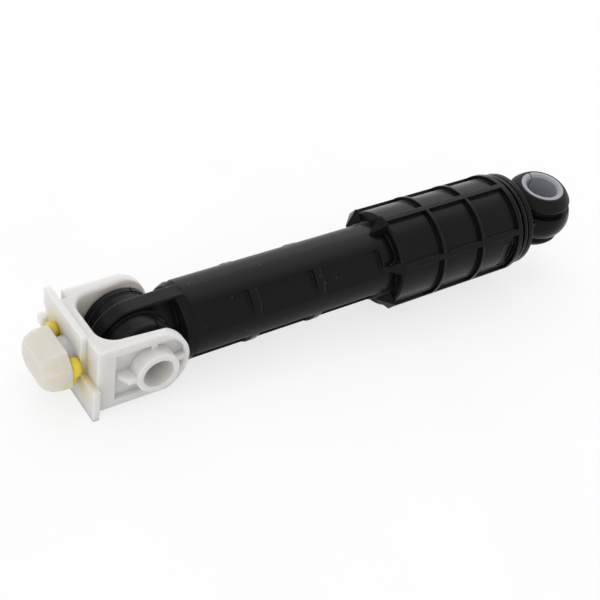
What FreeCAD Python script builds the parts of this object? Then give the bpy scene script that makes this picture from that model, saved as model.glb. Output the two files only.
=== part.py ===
import FreeCAD
import Part
import Sketcher
import os

os.makedirs("parts", exist_ok=True)
doc = FreeCAD.newDocument("shock_absorber")

# Driving sizes in millimetres and degrees; X runs along the tube, drawn from the yoke pivot to the fixed eye
sheet = doc.addObject("Spreadsheet::Sheet", "dims")
SIZES = [
    ("rod_wall", 5.0),
    ("rod_tube_start", 15.5),
    ("rod_end_wall", 3.0),
    ("rod_end_taper", 3.4),
    ("rod_end_step", 1.4),
    ("inward_stroke", 13.8),
    ("rod_lip_length", 1.5),
    ("rod_lip_step", 0.3),
    ("flat_depth", 1.74),
    ("flat_rise", 3.3),
    ("flat_angle", 46.0),
    ("flat_start", 18.0),
    ("flat_stop", 101.0),
    ("cross_rib_first", 44.0),
    ("cross_rib_pitch", 28.0),
    ("cross_rib_thickness", 3.2),
    ("rod_eye_radius", 12.5),
    ("rod_eye_half_width", 8.4),
    ("rod_eye_bore_radius", 9.6),
    ("tongue_eye_radius", 14.3),
    ("tongue_root_step", 0.3),
    ("tongue_half_width", 3.1),
    ("shoulder_half_width", 7.2),
    ("shoulder_half_height", 5.0),
    ("saddle_height", 11.6),
    ("saddle_bend", 8.0),
    ("bush_flange_radius", 13.0),
    ("bush_flange_thickness", 2.8),
    ("bush_flange_edge", 0.5),
    ("bush_middle_gap", 0.3),
    ("bush_slit_width", 0.6),
    ("bush_slit_angle", 20.0),
    ("pivot_clearance", 0.06),
    ("stub_radius", 7.4),
    ("stub_core_radius", 5.8),
    ("stub_end_wall", 1.8),
    ("stub_reach", 0.9),
    ("boss_radius", 8.1),
    ("boss_face", 21.6),
    ("boss_edge", 0.5),
    ("arm_half_width", 17.5),
    ("arm_top_drop", 0.4),
    ("arm_bottom_drop", 1.3),
    ("arm_end_radius", 14.0),
    ("arm_side_gap", 1.5),
    ("arm_flare", 2.0),
    ("arm_end_rim", 1.7),
    ("arm_top_rim", 3.6),
    ("arm_low_rim", 2.6),
    ("arm_recess_start", 14.4),
    ("arm_recess_depth", 2.1),
    ("arm_rib_thickness", 2.2),
    ("arm_rib_start", 14.6),
    ("arm_rib_slant", 3.6),
    ("slot_bottom", 17.0),
    ("slot_corner_radius", 7.0),
    ("slot_rounding", 1.5),
    ("yoke_back", 21.0),
    ("plate_thickness", 2.3),
    ("plate_half_width", 19.8),
    ("plate_top", 15.0),
    ("plate_bottom", 14.3),
    ("plate_cut_width", 10.5),
    ("plate_cut_height", 16.2),
    ("plate_ear_height", 7.0),
    ("plate_ear_step", 1.6),
    ("plate_ear_notch", 3.0),
    ("plate_ear_depth", 4.5),
    ("lug_length", 2.4),
    ("lug_width", 3.6),
    ("lug_low", 0.2),
    ("lug_high", 4.0),
    ("nose_neck_radius", 7.0),
    ("nose_neck_length", 4.0),
    ("nose_rise", 0.6),
    ("nose_half_width", 12.1),
    ("nose_half_height", 8.4),
    ("nose_corner", 4.6),
    ("nose_shoulder_length", 3.0),
    ("nose_middle_length", 4.0),
    ("nose_middle_bevel", 1.5),
    ("nose_tip_length", 2.0),
    ("nose_tip_bevel", 3.6),
    ("dab_slump", 0.4),
    ("dab_bulge", 2.6),
    ("dab_upper_radius", 2.3),
    ("dab_upper_y", 9.4),
    ("dab_upper_z", 4.3),
    ("dab_lower_radius", 2.8),
    ("dab_lower_y", 8.2),
    ("dab_lower_z", 2.0),
    ("dab_run_length", 8.5),
    ("dab_run_radius", 0.7),
    ("barrel_roll", 5.2),
    ("barrel_start", 107.0),
    ("barrel_length", 61.8),
    ("barrel_radius", 19.1),
    ("barrel_wall", 2.3),
    ("barrel_mouth_edge", 0.6),
    ("rib_height", 1.5),
    ("rib_width", 2.2),
    ("ring_pitch", 20.15),
    ("ring_width", 1.2),
    ("end_ring_width", 2.2),
    ("mouth_wall", 2.5),
    ("mouth_clearance", 0.3),
    ("gusset_length", 5.6),
    ("gusset_tip_height", 0.5),
    ("gusset_tip_width", 0.8),
    ("gusset_base_width", 5.4),
    ("window_end_offset", 2.6),
    ("window_length", 5.8),
    ("window_half_width", 6.4),
    ("lining_length", 5.0),
    ("lining_thickness", 1.8),
    ("lining_clearance", 0.05),
    ("spacer_length", 1.5),
    ("spacer_clearance", 0.3),
    ("retainer_length", 2.0),
    ("guide_ring_length", 4.0),
    ("guide_ring_depth", 1.2),
    ("guide_ring_clearance", 0.05),
    ("guide_ring_float", 0.05),
    ("guide_ring_slit", 0.8),
    ("spigot_length", 9.8),
    ("spigot_wall", 1.2),
    ("latch_height", 1.2),
    ("latch_gap", 0.7),
    ("cap_neck_step", 1.4),
    ("cap_neck_length", 2.3),
    ("cap_flange_step", 0.4),
    ("cap_flange_length", 4.6),
    ("cap_groove_width", 0.8),
    ("cap_groove_depth", 0.7),
    ("cap_groove_offset", 1.6),
    ("stop_gap", 2.6),
    ("stop_length", 8.5),
    ("stop_nose_taper", 2.5),
    ("stop_nose_length", 2.5),
    ("eye_neck_length", 19.3),
    ("eye_ring_edge_radius", 14.3),
    ("eye_ring_half_height", 4.9),
    ("eye_ring_crown", 9.9),
    ("eye_bore_radius", 11.0),
    ("eye_neck_half_width", 11.5),
    ("eye_neck_half_height", 4.2),
    ("collar_radius", 12.1),
    ("collar_straight", 1.9),
    ("collar_ridge_radius", 13.3),
    ("collar_ridge_rise", 1.0),
    ("collar_ridge_width", 0.8),
    ("collar_dome", 14.0),
    ("collar_dome_height", 3.8),
    ("collar_top_radius", 10.0),
    ("sleeve_radius", 9.2),
    ("sleeve_bore_radius", 6.75),
    ("sleeve_half_length", 12.5),
    ("sleeve_slit", 0.7),
    ("sleeve_bevel", 0.9),
    ("cut_margin", 2.0),
]
# Radii and heights that follow from the sizes above, so that tube, linings, barrel and cap keep their fits
FOLLOWING = [
    ("barrel_bore_radius", "=barrel_radius - barrel_wall"),
    ("rib_crest_radius", "=barrel_radius + rib_height"),
    ("rod_radius", "=barrel_bore_radius - lining_thickness"),
    ("rod_bore_radius", "=rod_radius - rod_wall"),
    ("flat_distance", "=rod_radius - flat_depth"),
    ("tongue_root_height", "=rod_radius - tongue_root_step"),
    ("cap_neck_radius", "=barrel_bore_radius + cap_neck_step"),
    ("cap_flange_radius", "=barrel_radius + cap_flange_step"),
    ("stop_radius", "=barrel_bore_radius - spigot_wall - stop_gap"),
    ("stop_nose_radius", "=stop_radius - stop_nose_taper"),
    ("arm_top", "=arm_end_radius - arm_top_drop"),
    ("arm_bottom", "=arm_end_radius - arm_bottom_drop"),
]
for row, (alias, value) in enumerate(SIZES + FOLLOWING, start=1):
    sheet.set("A%d" % row, alias)
    sheet.set("B%d" % row, str(value))
    sheet.setAlias("B%d" % row, alias)
doc.recompute()

TURN = {
    "X": FreeCAD.Rotation(FreeCAD.Vector(0, 1, 0), 90),
    "Y": FreeCAD.Rotation(FreeCAD.Vector(1, 0, 0), -90),
    "Z": FreeCAD.Rotation(),
}


def bind(obj, settings):
    for prop, expression in settings:
        obj.setExpression(prop, expression)
    return obj


def outline(part, role, corners, offset="0"):
    # A closed outline on one of the body's own planes, both places of each corner bound to the sizes;
    # a third entry is the radius of the arc to the next corner, positive where it bulges to the right
    sketch = part.newObject("Sketcher::SketchObject", part.Name + "_outline")
    sketch.AttachmentSupport = [(next(item for item in part.Origin.OriginFeatures if item.Role == role), "")]
    sketch.MapMode = "FlatFace"
    bind(sketch, [("AttachmentOffset.Base.z", offset)])
    spots = [FreeCAD.Vector(sheet.evalExpression(c[0]), sheet.evalExpression(c[1]), 0) for c in corners]
    ends = []
    for number, corner in enumerate(corners):
        here = spots[number]
        there = spots[(number + 1) % len(spots)]
        bend = sheet.evalExpression(corner[2]) if len(corner) == 3 else 0
        if bend:
            half = (there - here).Length / 2
            rise = abs(bend) - max(bend * bend - half * half, 0) ** 0.5
            aside = (there - here).cross(FreeCAD.Vector(0, 0, 1)).normalize() * (rise if bend > 0 else -rise)
            sketch.addGeometry(Part.Arc(here, (here + there) * 0.5 + aside, there))
        else:
            sketch.addGeometry(Part.LineSegment(here, there))
        ends.append((1, 2) if bend >= 0 else (2, 1))
    for number, corner in enumerate(corners):
        following = (number + 1) % len(corners)
        sketch.addConstraint(
            Sketcher.Constraint("Coincident", number, ends[number][1], following, ends[following][0]))
        for kind, place in (("DistanceX", corner[0]), ("DistanceY", corner[1])):
            index = sketch.addConstraint(Sketcher.Constraint(
                kind, -1, 1, number, ends[number][0], sheet.evalExpression(place)))
            bind(sketch, [("Constraints[%d]" % index, place)])
    for number, corner in enumerate(corners):
        half = (spots[(number + 1) % len(spots)] - spots[number]).Length / 2
        if len(corner) == 3 and abs(sheet.evalExpression(corner[2])) > half:
            index = sketch.addConstraint(Sketcher.Constraint(
                "Radius", number, abs(sheet.evalExpression(corner[2]))))
            bind(sketch, [("Constraints[%d]" % index, "abs(%s)" % corner[2])])
    return sketch


def turned(name, axis, corners, x="0"):
    # A solid of revolution about one axis; X profiles give place and radius, Y and Z profiles radius and place
    part = doc.addObject("PartDesign::Body", name)
    profile = outline(part, "XY_Plane" if axis == "Y" else "XZ_Plane", corners)
    turn = part.newObject("PartDesign::Revolution", name + "_turn")
    turn.Profile = profile
    turn.ReferenceAxis = (profile, ["H_Axis" if axis == "X" else "V_Axis"])
    turn.Angle = 360
    return bind(part, [("Placement.Base.x", x)])


def prism(name, role, corners, low, high):
    # A straight solid: an outline carried between two positions across its plane
    part = doc.addObject("PartDesign::Body", name)
    pad = part.newObject("PartDesign::Pad", name + "_pad")
    pad.Profile = outline(part, role, corners, low)
    bind(pad, [("Length", "(%s) - (%s)" % (high, low))])
    part.Tip = pad
    return part


def cylinder(name, axis, radius, low, high):
    # A round along one axis between two positions
    obj = doc.addObject("Part::Cylinder", name)
    obj.Placement = FreeCAD.Placement(FreeCAD.Vector(0, 0, 0), TURN[axis])
    bind(obj, [("Radius", radius), ("Height", "(%s) - (%s)" % (high, low))])
    return bind(obj, [("Placement.Base." + axis.lower(), low)])


def block(name, xs, ys, zs):
    # A block between two positions on each axis
    obj = doc.addObject("Part::Box", name)
    for prop, key, pair in (("Length", "x", xs), ("Width", "y", ys), ("Height", "z", zs)):
        bind(obj, [(prop, "(%s) - (%s)" % (pair[1], pair[0])), ("Placement.Base." + key, pair[0])])
    return obj


def spoke_block(name, xs, ys, zs, angle):
    # A block turned about the tube axis, keeping its place measured from that axis
    obj = block(name, xs, ys, zs)
    obj.Placement = FreeCAD.Placement(FreeCAD.Vector(0, 0, 0), FreeCAD.Rotation(FreeCAD.Vector(1, 0, 0), 1))
    base_y = "(%s) * cos(%s) - (%s) * sin(%s)" % (ys[0], angle, zs[0], angle)
    base_z = "(%s) * sin(%s) + (%s) * cos(%s)" % (ys[0], angle, zs[0], angle)
    bind(obj, [("Placement.Base.x", xs[0]), ("Placement.Base.y", base_y), ("Placement.Base.z", base_z)])
    return bind(obj, [("Placement.Rotation.Angle", angle)])


def fuse(name, shapes):
    obj = doc.addObject("Part::MultiFuse", name)
    obj.Shapes = shapes
    return obj


def common(name, shapes):
    obj = doc.addObject("Part::MultiCommon", name)
    obj.Shapes = shapes
    return obj


def cut(name, base, tools):
    # Takes every tool away from the base in one cut
    tool = tools[0]
    if len(tools) > 1:
        tool = fuse(name + "_tools", tools)
    obj = doc.addObject("Part::Cut", name)
    obj.Base = base
    obj.Tool = tool
    return obj


def mirrored(name, source, normal):
    obj = doc.addObject("Part::Mirroring", name)
    obj.Source = source
    obj.Normal = normal
    return obj


subparts = []


def finish(obj, node, rolled, shift):
    # Names the sub-part and puts it in place from the fixed eye; the barrel side is rolled about the tube axis
    obj.Label = node
    obj.Placement = FreeCAD.Placement(
        FreeCAD.Vector(0, 0, 0), FreeCAD.Rotation(FreeCAD.Vector(1, 0, 0), 1))
    turn = "dims.barrel_roll" if rolled else "0"
    bind(obj, [("Placement.Base.x", shift), ("Placement.Rotation.Angle", turn)])
    subparts.append(obj)


# Positions shared by several pieces, written once from the sizes above
BARREL_END = "dims.barrel_start + dims.barrel_length"
CAP_FLANGE = BARREL_END + " + dims.cap_neck_length"
CAP_END = CAP_FLANGE + " + dims.cap_flange_length"
EYE = CAP_END + " + dims.eye_neck_length"
FROM_PIVOT = "-(%s)" % EYE
AT_EYE = "0"
ROD_END = BARREL_END + " - dims.stop_length - dims.inward_stroke"
SEAT_END = ROD_END + " - dims.rod_lip_length"
SEAT_START = SEAT_END + " - dims.guide_ring_length"
SEAT_RADIUS = "dims.rod_radius - dims.guide_ring_depth"
TUBE_FLOOR = "dims.rod_tube_start + dims.rod_end_wall"
LINING_A = "dims.barrel_start + dims.mouth_wall"
LINING_B = LINING_A + " + dims.lining_length"
LINING_C = LINING_B + " + dims.spacer_length"
LINING_D = LINING_C + " + dims.lining_length"
LINING_E = LINING_D + " + dims.retainer_length"
FLANGE_FACE = "dims.rod_eye_half_width + dims.bush_flange_thickness"
ARM_INNER = FLANGE_FACE + " + dims.arm_side_gap"
PLATE_FRONT = "-dims.yoke_back - dims.plate_thickness"
NOSE_BACK = PLATE_FRONT + " - dims.nose_neck_length"
WINDOW_END = BARREL_END + " - dims.window_end_offset"
WINDOW_START = WINDOW_END + " - dims.window_length"

# Rod: hollow moulded tube with flats and cross ribs, a flanged tongue and the pivot eye
LIP_RADIUS = "dims.rod_radius - dims.rod_lip_step"
rod_tube = turned("rod_tube", "X", [
    ("dims.rod_tube_start", "0"),
    ("dims.rod_tube_start", "dims.rod_radius - dims.rod_end_step"),
    ("dims.rod_tube_start + dims.rod_end_taper", "dims.rod_radius"),
    (SEAT_START, "dims.rod_radius"),
    (SEAT_START, SEAT_RADIUS),
    (SEAT_END, SEAT_RADIUS),
    (SEAT_END, LIP_RADIUS),
    (ROD_END, LIP_RADIUS),
    (ROD_END, "dims.rod_bore_radius"),
    (TUBE_FLOOR, "dims.rod_bore_radius"),
    (TUBE_FLOOR, "0"),
])
tongue = prism("tongue", "XZ_Plane", [
    ("0", "-dims.tongue_eye_radius"),
    (TUBE_FLOOR, "-dims.tongue_root_height"),
    (TUBE_FLOOR, "dims.tongue_root_height"),
    ("0", "dims.tongue_eye_radius", "dims.tongue_eye_radius"),
], "-dims.tongue_half_width", "dims.tongue_half_width")
shoulder = prism("shoulder", "YZ_Plane", [
    ("dims.shoulder_half_width", "-dims.shoulder_half_height"),
    ("dims.shoulder_half_width", "dims.shoulder_half_height", "-dims.saddle_bend"),
    ("dims.tongue_half_width", "dims.saddle_height"),
    ("-dims.tongue_half_width", "dims.saddle_height", "-dims.saddle_bend"),
    ("-dims.shoulder_half_width", "dims.shoulder_half_height"),
    ("-dims.shoulder_half_width", "-dims.shoulder_half_height", "-dims.saddle_bend"),
    ("-dims.tongue_half_width", "-dims.saddle_height"),
    ("dims.tongue_half_width", "-dims.saddle_height", "-dims.saddle_bend"),
], "0", TUBE_FLOOR)
eye_boss = cylinder(
    "eye_boss", "Y", "dims.rod_eye_radius", "-dims.rod_eye_half_width", "dims.rod_eye_half_width")
rod_solid = fuse("rod_solid", [rod_tube, tongue, shoulder, eye_boss])
rod_tools = [cylinder(
    "rod_eye_bore", "Y", "dims.rod_eye_bore_radius",
    "-dims.rod_eye_half_width - dims.cut_margin", "dims.rod_eye_half_width + dims.cut_margin")]
HALF_RIB = "dims.cross_rib_thickness / 2"
SECOND_RIB = "dims.cross_rib_first + dims.cross_rib_pitch"
bays = [
    ("dims.flat_start", "dims.cross_rib_first - " + HALF_RIB),
    ("dims.cross_rib_first + " + HALF_RIB, SECOND_RIB + " - " + HALF_RIB),
    (SECOND_RIB + " + " + HALF_RIB, "dims.flat_stop"),
]
FLAT_RUN = "sqrt(dims.rod_radius ^ 2 - dims.flat_distance ^ 2) + dims.cut_margin"
RISING = ("-(%s)" % FLAT_RUN, "dims.flat_rise")
FALLING = ("-dims.flat_rise", FLAT_RUN)
flats = [
    ("dims.flat_angle", RISING), ("180 - dims.flat_angle", FALLING),
    ("180 + dims.flat_angle", RISING), ("-dims.flat_angle", FALLING),
]
for side, (angle, across) in enumerate(flats):
    for bay, xs in enumerate(bays):
        rod_tools.append(spoke_block(
            "flat_%d_%d" % (side, bay), xs, across,
            ("dims.flat_distance", "dims.rod_radius + dims.cut_margin"), "(%s) * 1 deg" % angle))
finish(cut("rod_part", rod_solid, rod_tools), "rod", False, FROM_PIVOT)

# Guide ring: split ring snapped into the groove at the inner end of the rod
RING_LOW = SEAT_START + " + dims.guide_ring_float"
RING_HIGH = SEAT_END + " - dims.guide_ring_float"
RING_INNER = SEAT_RADIUS + " + dims.guide_ring_float"
RING_OUTER = "dims.barrel_bore_radius - dims.guide_ring_clearance"
ring_whole = turned("ring_whole", "X", [
    (RING_LOW, RING_INNER), (RING_HIGH, RING_INNER), (RING_HIGH, RING_OUTER), (RING_LOW, RING_OUTER)])
ring_slit = block(
    "guide_slit", (SEAT_START, SEAT_END), ("-dims.guide_ring_slit / 2", "dims.guide_ring_slit / 2"),
    ("0", "dims.barrel_radius"))
finish(cut("guide_part", ring_whole, [ring_slit]), "guide_ring", False, FROM_PIVOT)

# Pivot bushes: two flanged rubber halves pushed into the rod eye, each slit along one side
BUSH_HOLE = "dims.stub_radius + dims.pivot_clearance"
bush_whole = turned("bush_whole", "Y", [
    (BUSH_HOLE, "dims.bush_middle_gap / 2"),
    ("dims.rod_eye_bore_radius", "dims.bush_middle_gap / 2"),
    ("dims.rod_eye_bore_radius", "dims.rod_eye_half_width"),
    ("dims.bush_flange_radius", "dims.rod_eye_half_width"),
    ("dims.bush_flange_radius", FLANGE_FACE + " - dims.bush_flange_edge"),
    ("dims.bush_flange_radius - dims.bush_flange_edge", FLANGE_FACE),
    (BUSH_HOLE, FLANGE_FACE),
])
bush_slit = block(
    "bush_slit", ("-dims.bush_slit_width / 2", "dims.bush_slit_width / 2"),
    ("-dims.cut_margin", FLANGE_FACE + " + dims.cut_margin"),
    ("0", "dims.bush_flange_radius + dims.cut_margin"))
bush_slit.Placement = FreeCAD.Placement(
    FreeCAD.Vector(0, 0, 0), FreeCAD.Rotation(FreeCAD.Vector(0, 1, 0), 1))
bind(bush_slit, [
    ("Placement.Base.x", "-dims.bush_slit_width / 2 * cos(dims.bush_slit_angle * 1 deg)"),
    ("Placement.Base.z", "dims.bush_slit_width / 2 * sin(dims.bush_slit_angle * 1 deg)"),
    ("Placement.Rotation.Angle", "dims.bush_slit_angle"),
])
finish(cut("bush_far_part", bush_whole, [bush_slit]), "pivot_bush_far", False, FROM_PIVOT)
bush_twin = cut("bush_twin", bush_whole, [bush_slit])
finish(mirrored("bush_near_part", bush_twin, FreeCAD.Vector(0, 1, 0)), "pivot_bush_near", False, FROM_PIVOT)

# Yoke: one moulding with two arms, hollow stub axles, base plate and locking nose
CORNER_X = "dims.slot_corner_radius - dims.slot_bottom"
CORNER_Y = ARM_INNER + " - dims.slot_corner_radius"
ARM_LIP = ARM_INNER + " + dims.arm_flare"
ARM_REACH = "dims.arm_end_radius + dims.cut_margin"
arm_plan = prism("arm_plan", "XY_Plane", [
    ("-dims.yoke_back", "-dims.arm_half_width"),
    (ARM_REACH, "-dims.arm_half_width"),
    (ARM_REACH, "-(%s)" % ARM_LIP),
    (CORNER_X, "-(%s)" % ARM_INNER, "-dims.slot_corner_radius"),
    ("-dims.slot_bottom", "-(%s)" % CORNER_Y),
    ("-dims.slot_bottom", CORNER_Y, "-dims.slot_corner_radius"),
    (CORNER_X, ARM_INNER),
    (ARM_REACH, ARM_LIP),
    (ARM_REACH, "dims.arm_half_width"),
    ("-dims.yoke_back", "dims.arm_half_width"),
], "-dims.arm_bottom", "dims.arm_top")
arm_side = prism("arm_side", "XZ_Plane", [
    ("-dims.yoke_back", "-dims.arm_bottom"),
    ("sqrt(dims.arm_end_radius ^ 2 - dims.arm_bottom ^ 2)", "-dims.arm_bottom", "dims.arm_end_radius"),
    ("sqrt(dims.arm_end_radius ^ 2 - dims.arm_top ^ 2)", "dims.arm_top"),
    ("-dims.yoke_back", "dims.arm_top"),
], "-dims.arm_half_width", "dims.arm_half_width")
arms_sharp = common("arms_sharp", [arm_plan, arm_side])
doc.recompute()
slot_edges = []
for number, edge in enumerate(arms_sharp.Shape.Edges, start=1):
    box = edge.BoundBox
    on_top = box.ZMin > sheet.arm_top - sheet.slot_rounding
    inside = max(abs(box.YMin), abs(box.YMax)) < sheet.arm_half_width - sheet.slot_rounding / 10
    if on_top and inside and box.XMin > -sheet.yoke_back + sheet.slot_rounding:
        slot_edges.append((number, sheet.slot_rounding, sheet.slot_rounding))
arms = doc.addObject("Part::Fillet", "arms")
arms.Base = arms_sharp
arms.Edges = slot_edges
RECESS_RADIUS = "(dims.arm_end_radius - dims.arm_end_rim)"
RECESS_TOP = "(dims.arm_top - dims.arm_top_rim)"
RECESS_LOW = "(dims.arm_bottom - dims.arm_low_rim)"
RECESS_FLOOR = "dims.arm_half_width - dims.arm_recess_depth"
recess_near = prism("recess_near", "XZ_Plane", [
    ("-dims.arm_recess_start", "-" + RECESS_LOW),
    ("sqrt(%s ^ 2 - %s ^ 2)" % (RECESS_RADIUS, RECESS_LOW), "-" + RECESS_LOW, RECESS_RADIUS),
    ("sqrt(%s ^ 2 - %s ^ 2)" % (RECESS_RADIUS, RECESS_TOP), RECESS_TOP),
    ("-dims.arm_recess_start", RECESS_TOP),
], RECESS_FLOOR, "dims.arm_half_width + dims.cut_margin")
recess_far = mirrored("recess_far", recess_near, FreeCAD.Vector(0, 1, 0))
arms_open = cut("arms_open", arms, [recess_near, recess_far])
CORE_END = "dims.stub_reach + dims.stub_end_wall"
axle = turned("axle", "Y", [
    ("0", "dims.stub_reach"),
    ("dims.stub_radius", "dims.stub_reach"),
    ("dims.stub_radius", ARM_INNER),
    ("dims.boss_radius", ARM_INNER),
    ("dims.boss_radius", "dims.boss_face - dims.boss_edge"),
    ("dims.boss_radius - dims.boss_edge", "dims.boss_face"),
    ("0", "dims.boss_face"),
])
HALF_ARM_RIB = "dims.arm_rib_thickness / 2"
rib_left = prism("rib_left", "XY_Plane", [
    ("-dims.arm_rib_start", RECESS_FLOOR + " - " + HALF_ARM_RIB),
    ("-dims.stub_core_radius", RECESS_FLOOR + " - " + HALF_ARM_RIB),
    ("-dims.stub_core_radius", "dims.boss_face - dims.boss_edge"),
    ("-dims.arm_rib_start + dims.arm_rib_slant", "dims.boss_face - dims.boss_edge"),
], "-" + HALF_ARM_RIB, HALF_ARM_RIB)
rib_up = block(
    "rib_up", ("-" + HALF_ARM_RIB, HALF_ARM_RIB), (RECESS_FLOOR + " - " + HALF_ARM_RIB, "dims.arm_half_width"),
    ("dims.stub_core_radius", RECESS_TOP + " + dims.arm_top_rim / 2"))
rib_right = block(
    "rib_right", ("dims.stub_core_radius", "dims.arm_end_radius - dims.arm_end_rim / 2"),
    (RECESS_FLOOR + " - " + HALF_ARM_RIB, "dims.arm_half_width"), ("-" + HALF_ARM_RIB, HALF_ARM_RIB))
axle_far = fuse("axle_far", [axle, rib_left, rib_up, rib_right])
axle_near = mirrored("axle_near", axle_far, FreeCAD.Vector(0, 1, 0))
CORE_MOUTH = "dims.boss_face + dims.cut_margin"
cores = [
    cylinder("core_far", "Y", "dims.stub_core_radius", CORE_END, CORE_MOUTH),
    cylinder("core_near", "Y", "dims.stub_core_radius", "-(%s)" % CORE_MOUTH, "-(%s)" % CORE_END),
]
EAR_LOW = "dims.plate_top - dims.plate_ear_height"
plate = prism("plate", "YZ_Plane", [
    ("-dims.plate_half_width", "-dims.plate_bottom"),
    ("dims.plate_half_width - dims.plate_ear_step", "-dims.plate_bottom"),
    ("dims.plate_half_width - dims.plate_ear_step", EAR_LOW + " - dims.plate_ear_step"),
    ("dims.plate_half_width", EAR_LOW),
    ("dims.plate_half_width", "dims.plate_top"),
    ("-dims.plate_half_width + dims.plate_cut_width", "dims.plate_top"),
    ("-dims.plate_half_width + dims.plate_cut_width", "dims.plate_top - dims.plate_cut_height"),
    ("-dims.plate_half_width", "dims.plate_top - dims.plate_cut_height"),
], PLATE_FRONT, "-dims.yoke_back")
lug = block(
    "lug", (PLATE_FRONT + " - dims.lug_length", PLATE_FRONT),
    ("dims.plate_half_width - dims.lug_width", "dims.plate_half_width"), ("dims.lug_low", "dims.lug_high"))
nose_neck = cylinder("nose_neck", "X", "dims.nose_neck_radius", NOSE_BACK, PLATE_FRONT)


def cut_cornered(bevel):
    # The nose's section: a rectangle with cut corners, drawn in all round by one bevel
    wide = "(dims.nose_half_width - %s)" % bevel
    high = "(dims.nose_half_height - %s)" % bevel
    corner = "(dims.nose_corner - %s / 2)" % bevel
    places = []
    for u, v, first in ((1, -1, True), (1, 1, False), (-1, 1, True), (-1, -1, False)):
        level = ("%d * (%s - %s)" % (u, wide, corner), "%d * %s + dims.nose_rise" % (v, high))
        upright = ("%d * %s" % (u, wide), "%d * (%s - %s) + dims.nose_rise" % (v, high, corner))
        places += [level, upright] if first else [upright, level]
    return places


SHOULDER = NOSE_BACK + " - dims.nose_shoulder_length"
MIDDLE = SHOULDER + " - dims.nose_middle_length"
TIP = MIDDLE + " - dims.nose_tip_length"
nose = doc.addObject("PartDesign::Body", "nose")
sections = [
    outline(nose, "YZ_Plane", cut_cornered(bevel), place)
    for bevel, place in (("0", NOSE_BACK), ("0", SHOULDER), ("dims.nose_middle_bevel", MIDDLE),
                         ("dims.nose_tip_bevel", TIP))
]
nose_base = nose.newObject("PartDesign::AdditiveLoft", "nose_base")
nose_base.Profile = sections[0]
nose_base.Sections = [sections[1]]
nose_dome = nose.newObject("PartDesign::AdditiveLoft", "nose_dome")
nose_dome.Profile = sections[1]
nose_dome.Sections = sections[2:]
nose.Tip = nose_dome
ear_notch = block(
    "ear_notch", ("-dims.yoke_back", "-dims.yoke_back + dims.plate_ear_notch"),
    ("dims.arm_half_width - dims.plate_ear_depth", "dims.arm_half_width + dims.cut_margin"),
    ("dims.arm_top - dims.plate_ear_depth", "dims.arm_top + dims.cut_margin"))
arms_whole = cut("arms_whole", fuse("arms_axles", [arms_open, axle_far, axle_near]), cores + [ear_notch])
head = fuse("head", [plate, lug, nose_neck, nose])
finish(fuse("yoke_part", [arms_whole, head]), "yoke", False, FROM_PIVOT)

# Yellow assembly dabs in the step between nose and plate, the lower one with a short run
DAB_X = PLATE_FRONT + " - dims.nose_neck_length / 2"
for tag, y in (("upper", "dims.dab_upper_y"), ("lower", "-dims.dab_lower_y")):
    dab_radius = "dims.dab_%s_radius" % tag
    wax = turned("dab_disc_" + tag, "X", [
        (NOSE_BACK, "0"),
        (NOSE_BACK, dab_radius + " - dims.dab_slump", "-dims.dab_bulge"),
        (PLATE_FRONT, dab_radius),
        (PLATE_FRONT, "0"),
    ])
    bind(wax, [("Placement.Base.y", y), ("Placement.Base.z", "dims.dab_%s_z" % tag)])
    if tag == "lower":
        run = doc.addObject("Part::Cone", "dab_run")
        bind(run, [
            ("Radius1", "dims.dab_run_radius"), ("Radius2", dab_radius), ("Height", "dims.dab_run_length"),
            ("Placement.Base.x", DAB_X), ("Placement.Base.y", y),
            ("Placement.Base.z", "dims.dab_lower_z - dims.dab_run_length"),
        ])
        wax = fuse("dab_wax", [wax, run])
    dab_space = block(
        "dab_space_" + tag, (NOSE_BACK, PLATE_FRONT), ("-dims.plate_half_width", "dims.plate_half_width"),
        ("-dims.plate_bottom", "dims.plate_top"))
    dab_neck = cylinder(
        "dab_neck_" + tag, "X", "dims.nose_neck_radius", NOSE_BACK + " - dims.cut_margin",
        PLATE_FRONT + " + dims.cut_margin")
    dab_half = common("dab_half_" + tag, [wax, dab_space])
    finish(cut("dab_part_" + tag, dab_half, [dab_neck]), "grease_dab_" + tag, False, FROM_PIVOT)

# Barrel: ribbed housing with ring ribs, mouth gussets and latch windows
MOUTH_RADIUS = "dims.rod_radius + dims.mouth_clearance"
wall_profile = [
    ("dims.barrel_start", MOUTH_RADIUS),
    ("dims.barrel_start", "dims.barrel_radius - dims.barrel_mouth_edge"),
    ("dims.barrel_start + dims.barrel_mouth_edge", "dims.barrel_radius"),
]
for number in (1, 2):
    middle = "dims.barrel_start + %d * dims.ring_pitch" % number
    wall_profile += [
        (middle + " - dims.ring_width / 2", "dims.barrel_radius"),
        (middle + " - dims.ring_width / 2", "dims.rib_crest_radius"),
        (middle + " + dims.ring_width / 2", "dims.rib_crest_radius"),
        (middle + " + dims.ring_width / 2", "dims.barrel_radius"),
    ]
wall_profile += [
    (BARREL_END + " - dims.end_ring_width", "dims.barrel_radius"),
    (BARREL_END + " - dims.end_ring_width", "dims.rib_crest_radius"),
    (BARREL_END, "dims.rib_crest_radius"),
    (BARREL_END, "dims.barrel_bore_radius"),
    (LINING_A, "dims.barrel_bore_radius"),
    (LINING_A, MOUTH_RADIUS),
]
RIB_COUNT = 6
barrel_shapes = [turned("barrel_wall", "X", wall_profile)]
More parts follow.
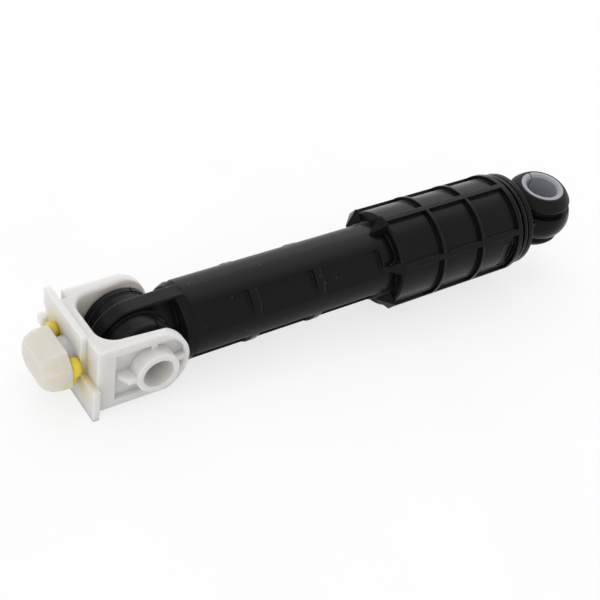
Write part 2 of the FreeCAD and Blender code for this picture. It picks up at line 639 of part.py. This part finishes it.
for number in range(RIB_COUNT):
    angle = "%d * 360 deg / %d" % (number, RIB_COUNT)
    barrel_shapes.append(spoke_block(
        "long_rib_%d" % number, ("dims.barrel_start", BARREL_END),
        ("-dims.rib_width / 2", "dims.rib_width / 2"),
        ("(dims.barrel_bore_radius + dims.barrel_radius) / 2", "dims.rib_crest_radius"), angle))
    gusset = doc.addObject("Part::Wedge", "gusset_%d" % number)
    bind(gusset, [
        ("Ymin", "0"), ("Ymax", "dims.gusset_length"),
        ("Xmin", "-dims.gusset_base_width / 2"), ("Xmax", "dims.gusset_base_width / 2"),
        ("X2min", "-dims.gusset_tip_width / 2"), ("X2max", "dims.gusset_tip_width / 2"),
        ("Zmin", "0"), ("Zmax", "dims.rib_crest_radius - (%s)" % MOUTH_RADIUS),
        ("Z2min", "0"), ("Z2max", "dims.gusset_tip_height"),
    ])
    gusset.Placement = FreeCAD.Placement(
        FreeCAD.Vector(0, 0, 0), FreeCAD.Rotation(FreeCAD.Vector(0, 0, 1), 90))
    bind(gusset, [("Placement.Base.x", "dims.barrel_start"), ("Placement.Base.z", MOUTH_RADIUS)])
    holder = doc.addObject("Part::Compound", "gusset_turn_%d" % number)
    holder.Links = [gusset]
    holder.Placement = FreeCAD.Placement(
        FreeCAD.Vector(0, 0, 0), FreeCAD.Rotation(FreeCAD.Vector(1, 0, 0), 1))
    bind(holder, [("Placement.Rotation.Angle", angle)])
    barrel_shapes.append(holder)
barrel_tools = [cylinder(
    "mouth_bore", "X", MOUTH_RADIUS, "dims.barrel_start - dims.gusset_length - dims.cut_margin", LINING_A)]
WINDOWS = (("near", "90 deg"), ("far", "270 deg"))
for tag, angle in WINDOWS:
    barrel_tools.append(spoke_block(
        "window_" + tag, (WINDOW_START, WINDOW_END), ("-dims.window_half_width", "dims.window_half_width"),
        ("dims.rod_radius", "dims.barrel_radius + dims.cut_margin"), angle))
finish(cut("barrel_part", fuse("barrel_solid", barrel_shapes), barrel_tools), "barrel", True, FROM_PIVOT)

# Friction pack: two grease-soaked foam linings, a spacer between them and a retaining ring
for node, clearance, low, high in (
        ("lining_front", "dims.lining_clearance", LINING_A, LINING_B),
        ("lining_spacer", "dims.spacer_clearance", LINING_B, LINING_C),
        ("lining_rear", "dims.lining_clearance", LINING_C, LINING_D),
        ("lining_retainer", "dims.spacer_clearance", LINING_D, LINING_E)):
    inner = "dims.rod_radius + " + clearance
    finish(turned(node + "_part", "X", [
        (low, inner), (high, inner), (high, "dims.barrel_bore_radius"), (low, "dims.barrel_bore_radius")]),
        node, True, FROM_PIVOT)

# End cap: spigot latched into the barrel windows, grooved flange and the fixed eye
SPIGOT_START = BARREL_END + " - dims.spigot_length"
SPIGOT_INNER = "dims.barrel_bore_radius - dims.spigot_wall"
GROOVE_LOW = CAP_FLANGE + " + dims.cap_groove_offset"
GROOVE_HIGH = GROOVE_LOW + " + dims.cap_groove_width"
GROOVE_RADIUS = "dims.cap_flange_radius - dims.cap_groove_depth"
cap_body = turned("cap_body", "X", [
    (SPIGOT_START, SPIGOT_INNER),
    (SPIGOT_START, "dims.barrel_bore_radius"),
    (BARREL_END, "dims.barrel_bore_radius"),
    (BARREL_END, "dims.cap_neck_radius"),
    (CAP_FLANGE, "dims.cap_neck_radius"),
    (CAP_FLANGE, "dims.cap_flange_radius"),
    (GROOVE_LOW, "dims.cap_flange_radius"),
    (GROOVE_LOW, GROOVE_RADIUS),
    (GROOVE_HIGH, GROOVE_RADIUS),
    (GROOVE_HIGH, "dims.cap_flange_radius"),
    (CAP_END, "dims.cap_flange_radius"),
    (CAP_END, "0"),
    (BARREL_END, "0"),
    (BARREL_END, SPIGOT_INNER),
])
eye_neck = block(
    "eye_neck", (CAP_FLANGE, EYE), ("-dims.eye_neck_half_width", "dims.eye_neck_half_width"),
    ("-dims.eye_neck_half_height", "dims.eye_neck_half_height"))
eye_ring = turned("eye_ring", "Z", [
    ("0", "-dims.eye_ring_half_height"),
    ("dims.eye_ring_edge_radius", "-dims.eye_ring_half_height", "dims.eye_ring_crown"),
    ("dims.eye_ring_edge_radius", "dims.eye_ring_half_height"),
    ("0", "dims.eye_ring_half_height"),
], x=EYE)
cap_shapes = [cap_body, eye_neck, eye_ring]
for tag, angle in WINDOWS:
    cap_shapes.append(spoke_block(
        "latch_" + tag, (WINDOW_START + " + dims.latch_gap", WINDOW_END + " - dims.latch_gap"),
        ("-dims.window_half_width + dims.latch_gap", "dims.window_half_width - dims.latch_gap"),
        ("dims.barrel_bore_radius - dims.spigot_wall / 2", "dims.barrel_bore_radius + dims.latch_height"),
        angle))
eye_hole = cylinder(
    "eye_hole", "Z", "dims.eye_bore_radius", "-dims.eye_ring_half_height - dims.cut_margin",
    "dims.eye_ring_half_height + dims.cut_margin")
bind(eye_hole, [("Placement.Base.x", EYE)])
finish(cut("cap_part", fuse("cap_solid", cap_shapes), [eye_hole]), "end_cap", True, FROM_PIVOT)

# Bump stop: rubber buffer on the inner face of the end cap
STOP_START = BARREL_END + " - dims.stop_length"
finish(turned("stop_part", "X", [
    (STOP_START, "0"),
    (STOP_START, "dims.stop_nose_radius"),
    (STOP_START + " + dims.stop_nose_length", "dims.stop_radius"),
    (BARREL_END, "dims.stop_radius"),
    (BARREL_END, "0"),
]), "bump_stop", True, FROM_PIVOT)

# Fixed eye bush: two rubber halves with a ridged domed collar on each side of the eye
STRAIGHT_TOP = "dims.eye_ring_half_height + dims.collar_straight"
RIDGE = STRAIGHT_TOP + " + dims.collar_ridge_rise"
RIDGE_TOP = RIDGE + " + dims.collar_ridge_width"
COLLAR_TOP = RIDGE_TOP + " + dims.collar_dome_height"
half_profile = [
    ("dims.sleeve_radius", "dims.bush_middle_gap / 2"),
    ("dims.eye_bore_radius", "dims.bush_middle_gap / 2"),
    ("dims.eye_bore_radius", "dims.eye_ring_half_height"),
    ("dims.collar_radius", "dims.eye_ring_half_height"),
    ("dims.collar_radius", STRAIGHT_TOP),
    ("dims.collar_ridge_radius", RIDGE),
    ("dims.collar_ridge_radius", RIDGE_TOP, "dims.collar_dome"),
    ("dims.collar_top_radius", COLLAR_TOP),
    ("dims.sleeve_radius", COLLAR_TOP),
]
finish(turned("half_upper", "Z", half_profile), "eye_bush_upper", True, AT_EYE)
half_below = turned("half_below", "Z", half_profile)
finish(mirrored("half_lower", half_below, FreeCAD.Vector(0, 0, 1)), "eye_bush_lower", True, AT_EYE)

# Sleeve: grey split sleeve pressed through both halves of the fixed eye bush
SLEEVE_MOUTH = "dims.sleeve_bore_radius + dims.sleeve_bevel"
SLEEVE_STRAIGHT = "dims.sleeve_half_length - dims.sleeve_bevel"
sleeve_tube = turned("sleeve_tube", "Z", [
    ("dims.sleeve_bore_radius", "-(%s)" % SLEEVE_STRAIGHT),
    (SLEEVE_MOUTH, "-dims.sleeve_half_length"),
    ("dims.sleeve_radius", "-dims.sleeve_half_length"),
    ("dims.sleeve_radius", "dims.sleeve_half_length"),
    (SLEEVE_MOUTH, "dims.sleeve_half_length"),
    ("dims.sleeve_bore_radius", SLEEVE_STRAIGHT),
])
sleeve_gap = block(
    "sleeve_gap", ("-dims.sleeve_slit / 2", "dims.sleeve_slit / 2"),
    ("0", "dims.sleeve_radius + dims.cut_margin"),
    ("-dims.sleeve_half_length - dims.cut_margin", "dims.sleeve_half_length + dims.cut_margin"))
finish(cut("sleeve_part", sleeve_tube, [sleeve_gap]), "eye_sleeve", True, AT_EYE)

doc.recompute()
for obj in doc.Objects:
    if "Invalid" in obj.State or "Error" in obj.State:
        raise RuntimeError("object not rebuilt: " + obj.Name)
for obj in subparts:
    shape = obj.Shape
    if shape.isNull() or not shape.isValid() or not shape.Solids:
        raise RuntimeError("bad shape: " + obj.Label)
    shape.exportStep("parts/" + obj.Label + ".step")
    print(obj.Label, len(shape.Solids), round(shape.Volume, 1), shape.BoundBox)
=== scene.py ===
import math
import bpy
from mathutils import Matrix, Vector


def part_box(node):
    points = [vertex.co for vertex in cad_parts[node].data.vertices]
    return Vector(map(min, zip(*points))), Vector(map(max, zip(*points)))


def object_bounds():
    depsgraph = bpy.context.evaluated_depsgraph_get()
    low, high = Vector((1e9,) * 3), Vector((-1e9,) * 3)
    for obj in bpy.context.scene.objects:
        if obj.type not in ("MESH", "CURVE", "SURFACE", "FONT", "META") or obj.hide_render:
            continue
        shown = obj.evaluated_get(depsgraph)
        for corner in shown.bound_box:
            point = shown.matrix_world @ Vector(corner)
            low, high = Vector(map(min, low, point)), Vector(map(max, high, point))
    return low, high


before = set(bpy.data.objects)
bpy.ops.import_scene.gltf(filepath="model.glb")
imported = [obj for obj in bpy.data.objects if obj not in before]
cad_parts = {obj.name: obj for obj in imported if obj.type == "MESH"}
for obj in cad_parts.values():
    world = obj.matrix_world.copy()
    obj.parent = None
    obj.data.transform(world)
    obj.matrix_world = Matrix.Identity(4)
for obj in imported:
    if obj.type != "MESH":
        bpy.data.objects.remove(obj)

from types import SimpleNamespace
import bpy
import numpy as np
from mathutils import Vector

cad_box = [list(map(float, corner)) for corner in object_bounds()]

# Barrel, end cap and the rings between the linings: black glass-filled polyamide, injection moulded.
# A spark-eroded mould leaves a fine grain with little shine, so only edges and grazing views turn grey.
# The cap's latches snap into the barrel's two windows, and a little pale dust lies on both.
mm = 0.001


def linear(code):
    """sRGB hex to linear: each channel through the sRGB curve, with alpha 1."""
    srgb = np.array([int(code[i:i + 2], 16) for i in (1, 3, 5)]) / 255
    low = srgb / 12.92
    high = ((srgb + 0.055) / 1.055) ** 2.4
    return (*np.where(srgb <= 0.04045, low, high).tolist(), 1.0)


def add(tree, kind, sockets=(), **settings):
    """Adds one node to a tree.

    Settings are its properties; sockets are pairs of an input and a value or another node's output.
    """
    node = tree.nodes.new(kind)
    for name, value in settings.items():
        setattr(node, name, value)
    for name, value in sockets:
        if isinstance(value, bpy.types.NodeSocket):
            tree.links.new(value, node.inputs[name])
        else:
            node.inputs[name].default_value = value
    return node


def skin(name, dark, light, patch, dullness, rounding):
    """The skin of one material: a cloud of one patch size runs between two colours and two dullness values.

    Edges are rounded for the light by one radius. Gives the material with its tree, its shader and three
    outputs: the place on the piece, the tone and the rounded normal.
    """
    material = bpy.data.materials.new(name)
    material.use_nodes = True
    tree = material.node_tree
    shader = tree.nodes["Principled BSDF"]
    place = add(tree, "ShaderNodeTexCoord").outputs["Object"]
    cloud = add(tree, "ShaderNodeTexNoise", [("Vector", place), ("Scale", 1 / patch), ("Detail", 4)])
    tone = add(tree, "ShaderNodeMix", [
        ("Factor", cloud.outputs["Fac"]), ("A", linear(dark)), ("B", linear(light))], data_type="RGBA")
    gloss = add(tree, "ShaderNodeMapRange", [
        ("Value", cloud.outputs["Fac"]), ("To Min", dullness[0]), ("To Max", dullness[1])])
    edge = add(tree, "ShaderNodeBevel", [("Radius", rounding)], samples=12)
    tree.links.new(tone.outputs["Result"], shader.inputs["Base Color"])
    tree.links.new(gloss.outputs["Result"], shader.inputs["Roughness"])
    tree.links.new(edge.outputs["Normal"], shader.inputs["Normal"])
    return SimpleNamespace(
        material=material, tree=tree, shader=shader, place=place,
        tone=tone.outputs["Result"], normal=edge.outputs["Normal"])


def dress(look, *names):
    """Gives CAD nodes one finished material in every slot."""
    for name in names:
        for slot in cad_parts[name].material_slots:
            slot.material = look.material


def dusted(look, pitch, share, colour):
    """Scatters dust over the tone: a soft round fleck in the middle of a share of the cells of one pitch.

    Real dust is too fine to show, so a fleck is drawn with a radius of up to 0.09 of the pitch.
    """
    fleck_core = 0.05
    fleck_rim = 0.09
    tree = look.tree
    cell = add(tree, "ShaderNodeTexVoronoi", [("Vector", look.place), ("Scale", 1 / pitch)])
    near = add(tree, "ShaderNodeMapRange", [
        ("Value", cell.outputs["Distance"]), ("From Min", fleck_core), ("From Max", fleck_rim),
        ("To Min", 1), ("To Max", 0)])
    draw = add(tree, "ShaderNodeSeparateColor", [("Color", cell.outputs["Color"])])
    rare = add(tree, "ShaderNodeMath", [
        (0, draw.outputs["Red"]), (1, 1 - share)], operation="GREATER_THAN")
    dust = add(tree, "ShaderNodeMath", [
        (0, near.outputs["Result"]), (1, rare.outputs[0])], operation="MULTIPLY")
    fleck = add(tree, "ShaderNodeMix", [
        ("Factor", dust.outputs[0]), ("A", look.tone), ("B", linear(colour))], data_type="RGBA")
    tree.links.new(fleck.outputs["Result"], look.shader.inputs["Base Color"])


def grained(look, pitch, depth):
    """Presses a grain of one pitch and depth into the rounded surface.

    Real spark-eroded grain is about 0.1 mm wide, so it is drawn several times coarser to show at all.
    """
    grain = add(look.tree, "ShaderNodeTexNoise", [
        ("Vector", look.place), ("Scale", 1 / pitch), ("Detail", 2)])
    relief = add(look.tree, "ShaderNodeBump", [
        ("Strength", 0.15), ("Distance", depth), ("Height", grain.outputs["Fac"]), ("Normal", look.normal)])
    look.tree.links.new(relief.outputs["Normal"], look.shader.inputs["Normal"])


def greyed(look, shine, sheen):
    """Sets the low shine of grained black plastic, and the warm grey sheen that it takes at grazing views."""
    look.shader.inputs["Specular IOR Level"].default_value = shine
    look.shader.inputs["Sheen Weight"].default_value = sheen
    look.shader.inputs["Sheen Roughness"].default_value = 0.25
    look.shader.inputs["Sheen Tint"].default_value = linear("#efe9e4")


housing = skin(
    "black_glass_filled_polyamide", dark="#0a090a", light="#111011",
    patch=18 * mm, dullness=(0.24, 0.34), rounding=0.4 * mm)
dusted(housing, pitch=2.5 * mm, share=0.1, colour="#434143")
grained(housing, pitch=0.7 * mm, depth=0.2 * mm)
greyed(housing, shine=0.11, sheen=0.5)
dress(housing, "barrel", "end_cap", "lining_spacer", "lining_retainer")

# Eye bushes and bump stop: black natural rubber, moulded with a dull skin.
# The bushes are halves pushed into the eye from both sides, and the bump stop sits in the cap.
rubber = skin(
    "black_moulded_rubber", dark="#100f10", light="#171618",
    patch=8 * mm, dullness=(0.38, 0.48), rounding=0.5 * mm)
dusted(rubber, pitch=4 * mm, share=0.12, colour="#3c3b3d")
rubber.shader.inputs["Specular IOR Level"].default_value = 0.12
dress(rubber, "eye_bush_upper", "eye_bush_lower", "bump_stop")

# Sleeve: a grey acetal tube, bevelled at both mouths, with the even satin of a machined plastic.
# It is slit along one side so that it can be sprung into the rubber.
sleeve = skin(
    "grey_acetal", dark="#8e8f95", light="#9c9da3",
    patch=4 * mm, dullness=(0.38, 0.46), rounding=0.4 * mm)
dress(sleeve, "eye_sleeve")

# Linings: open-cell polyurethane foam soaked in damping grease, which makes it dark and a little glossy.
# Two rings lie in the barrel and rub on the rod; the cells are under a millimetre wide.
foam = skin(
    "greased_polyurethane_foam", dark="#4c422c", light="#8a7b58",
    patch=0.8 * mm, dullness=(0.3, 0.4), rounding=0.2 * mm)
dress(foam, "lining_front", "lining_rear")

# Guide ring: natural acetal, cream and satin as it comes from the mould.
# It is a split ring, sprung into the groove at the rod's inner end.
ring = skin(
    "natural_acetal", dark="#cfc8b8", light="#ddd7ca",
    patch=5 * mm, dullness=(0.36, 0.44), rounding=0.3 * mm)
dress(ring, "guide_ring")

# Rod: black polyamide, moulded over a long core, with a finer grain than the barrel's.
# Its cross ribs are soft at the edges, and dust shows on it most.
tube = skin(
    "smooth_black_polyamide", dark="#0a090a", light="#100f10",
    patch=30 * mm, dullness=(0.24, 0.34), rounding=1.3 * mm)
dusted(tube, pitch=2.6 * mm, share=0.2, colour="#6a686a")
grained(tube, pitch=0.6 * mm, depth=0.12 * mm)
greyed(tube, shine=0.12, sheen=0.4)
dress(tube, "rod")

# Pivot bushes: the same rubber as at the fixed eye.
# They are two flanged halves, slit along one side and pushed into the rod's eye.
dress(rubber, "pivot_bush_near", "pivot_bush_far")

# Yoke: natural white polyamide, one moulding sprung over the pivot bushes, which lets some light through.
# The nose is creamier than the arms, from the upper dab's front face forwards.
# Lacquer has stained nose and plate in streaks round the two dabs.
white = skin(
    "natural_white_polyamide", dark="#d2d0cf", light="#d9d8d7",
    patch=12 * mm, dullness=(0.4, 0.5), rounding=0.6 * mm)
nose_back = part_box("grease_dab_upper")[0].x
blend_depth = 2 * mm
along = add(white.tree, "ShaderNodeSeparateXYZ", [("Vector", white.place)])
ahead = add(white.tree, "ShaderNodeMapRange", [
    ("Value", along.outputs["X"]), ("To Min", 1), ("To Max", 0),
    ("From Min", nose_back - blend_depth), ("From Max", nose_back + blend_depth)])
cream = add(white.tree, "ShaderNodeMix", [
    ("Factor", ahead.outputs["Result"]), ("A", white.tone), ("B", linear("#d3d0c6"))], data_type="RGBA")
tinted = cream.outputs["Result"]

streak_size = 4.5 * mm
streaks = add(white.tree, "ShaderNodeTexNoise", [
    ("Vector", white.place), ("Scale", 1 / streak_size), ("Detail", 5)])
patchy = add(white.tree, "ShaderNodeMapRange", [
    ("Value", streaks.outputs["Fac"]), ("From Min", 0.42), ("From Max", 0.62)])
strongest_stain = 0.9
stains = (
    ("grease_dab_upper", 9 * mm, "#dccf78"),
    ("grease_dab_lower", 12 * mm, "#d9c964"),
)
for name, reach, colour in stains:
    lowest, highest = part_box(name)
    away = add(white.tree, "ShaderNodeVectorMath", [
        (0, white.place), (1, tuple((lowest + highest) / 2))], operation="DISTANCE")
    fading = add(white.tree, "ShaderNodeMapRange", [
        ("Value", away.outputs["Value"]), ("From Min", reach / 4), ("From Max", reach),
        ("To Min", strongest_stain), ("To Max", 0)])
    stain = add(white.tree, "ShaderNodeMath", [
        (0, fading.outputs["Result"]), (1, patchy.outputs["Result"])], operation="MULTIPLY")
    stained = add(white.tree, "ShaderNodeMix", [
        ("Factor", stain.outputs[0]), ("A", tinted), ("B", linear(colour))], data_type="RGBA")
    tinted = stained.outputs["Result"]
white.tree.links.new(tinted, white.shader.inputs["Base Color"])
white.shader.inputs["Subsurface Weight"].default_value = 0.9
white.shader.inputs["Subsurface Radius"].default_value = (1.0, 0.9, 0.75)
white.shader.inputs["Subsurface Scale"].default_value = 6 * mm
white.shader.inputs["Specular IOR Level"].default_value = 0.35
dress(white, "yoke")

# Dabs: yellow wax lacquer, put by hand into the step behind the nose.
# It is soft at the edges and a little cloudy, so light enters it for about a millimetre.
wax = skin(
    "yellow_wax_lacquer", dark="#e2c42c", light="#eed950",
    patch=3 * mm, dullness=(0.35, 0.5), rounding=0.8 * mm)
wax.shader.inputs["Subsurface Weight"].default_value = 0.2
wax.shader.inputs["Subsurface Radius"].default_value = (1.0, 0.8, 0.3)
wax.shader.inputs["Subsurface Scale"].default_value = 1 * mm
dress(wax, "grease_dab_upper", "grease_dab_lower")

# Floor: a sheet of plain white paper under the part.
# It is a plane that leans along x, so that it meets both the barrel's mouth and the yoke's plate.
# To the camera and in reflections it glows for three quarters, and the rest keeps the part's shadow.
gusset_length = 5.6 * mm
plate_middle = 14.15 * mm
barrel_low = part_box("barrel")[0]
yoke_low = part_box("yoke")[0]
mouth_x = barrel_low.x + gusset_length
plate_x = yoke_low.x + plate_middle
slope = (yoke_low.z - barrel_low.z) / (plate_x - mouth_x)
gap = 0.1 * mm
half = 3.0
corners = np.array([[-half, -half], [half, -half], [half, half], [-half, half]])
height = barrel_low.z - gap + slope * (corners[:, 0] - mouth_x)
floor_mesh = bpy.data.meshes.new("floor")
floor_mesh.from_pydata(np.column_stack([corners, height]).tolist(), [], [(0, 1, 2, 3)])
floor = bpy.data.objects.new("floor", floor_mesh)
bpy.context.scene.collection.objects.link(floor)


def in_view(tree):
    """1 for rays from the camera, off a glossy face or through a clear one, and 0 for light on the part."""
    ray = add(tree, "ShaderNodeLightPath")
    reflected = add(tree, "ShaderNodeMath", [
        (0, ray.outputs["Is Glossy Ray"]), (1, ray.outputs["Is Transmission Ray"])], operation="MAXIMUM")
    either = add(tree, "ShaderNodeMath", [
        (0, ray.outputs["Is Camera Ray"]), (1, reflected.outputs[0])], operation="MAXIMUM")
    return either.outputs[0]


paper = skin(
    "white_paper_sweep", dark="#fbfbfb", light="#ffffff",
    patch=50 * mm, dullness=(0.85, 0.95), rounding=0.1 * mm)
paper.shader.inputs["Specular IOR Level"].default_value = 0.1
glow_share = 0.75
shown = add(paper.tree, "ShaderNodeMath", [(0, in_view(paper.tree)), (1, glow_share)], operation="MULTIPLY")
glow = add(paper.tree, "ShaderNodeEmission", [("Color", paper.tone), ("Strength", 1.0)])
sheet = add(paper.tree, "ShaderNodeMixShader", [
    (0, shown.outputs[0]), (1, paper.shader.outputs["BSDF"]), (2, glow.outputs["Emission"])])
paper.tree.links.new(sheet.outputs["Shader"], paper.tree.nodes["Material Output"].inputs["Surface"])
floor_mesh.materials.append(paper.material)

# Light: an even room, plain white where it is seen, and two large soft lamps aimed at the part's middle.
# The overhead lamp stands behind the part and greys the top of the tube; the side lamp fills the yoke.
world = bpy.data.worlds.new("studio")
bpy.context.scene.world = world
world.use_nodes = True
sky = world.node_tree.nodes["Background"]
room_level = 0.8
bright = add(world.node_tree, "ShaderNodeMapRange", [
    ("Value", in_view(world.node_tree)), ("To Min", room_level), ("To Max", 1.0)])
sky.inputs["Color"].default_value = (1, 1, 1, 1)
world.node_tree.links.new(bright.outputs["Result"], sky.inputs["Strength"])

middle = (Vector(cad_box[0]) + Vector(cad_box[1])) / 2
lamps = (
    ("overhead", (0.3, 0.55, 0.8), 4.0, 1.2),
    ("side", (-0.95, -0.35, 0.4), 2.0, 1.0),
)
for name, spot, power, size in lamps:
    lamp = bpy.data.lights.new(name, "AREA")
    lamp.energy = power
    lamp.size = size
    holder = bpy.data.objects.new(name, lamp)
    holder.location = spot
    holder.rotation_euler = (middle - Vector(spot)).to_track_quat("-Z", "Y").to_euler()
    bpy.context.scene.collection.objects.link(holder)

# Camera: close to the yoke, above it and to its side, looking along the part towards the fixed eye.
# Its place, turn and lens were fitted together with the part's main proportions.
eye = bpy.data.cameras.new("camera")
eye.sensor_width = 36
eye.lens = 69.5899
camera = bpy.data.objects.new("camera", eye)
camera.location = (-0.345711, -0.263878, 0.274811)
camera.rotation_euler = tuple(math.radians(angle) for angle in (50.141442, -8.008121, -33.7745))
bpy.context.scene.collection.objects.link(camera)
bpy.context.scene.camera = camera
bpy.context.scene.view_settings.view_transform = "Standard"
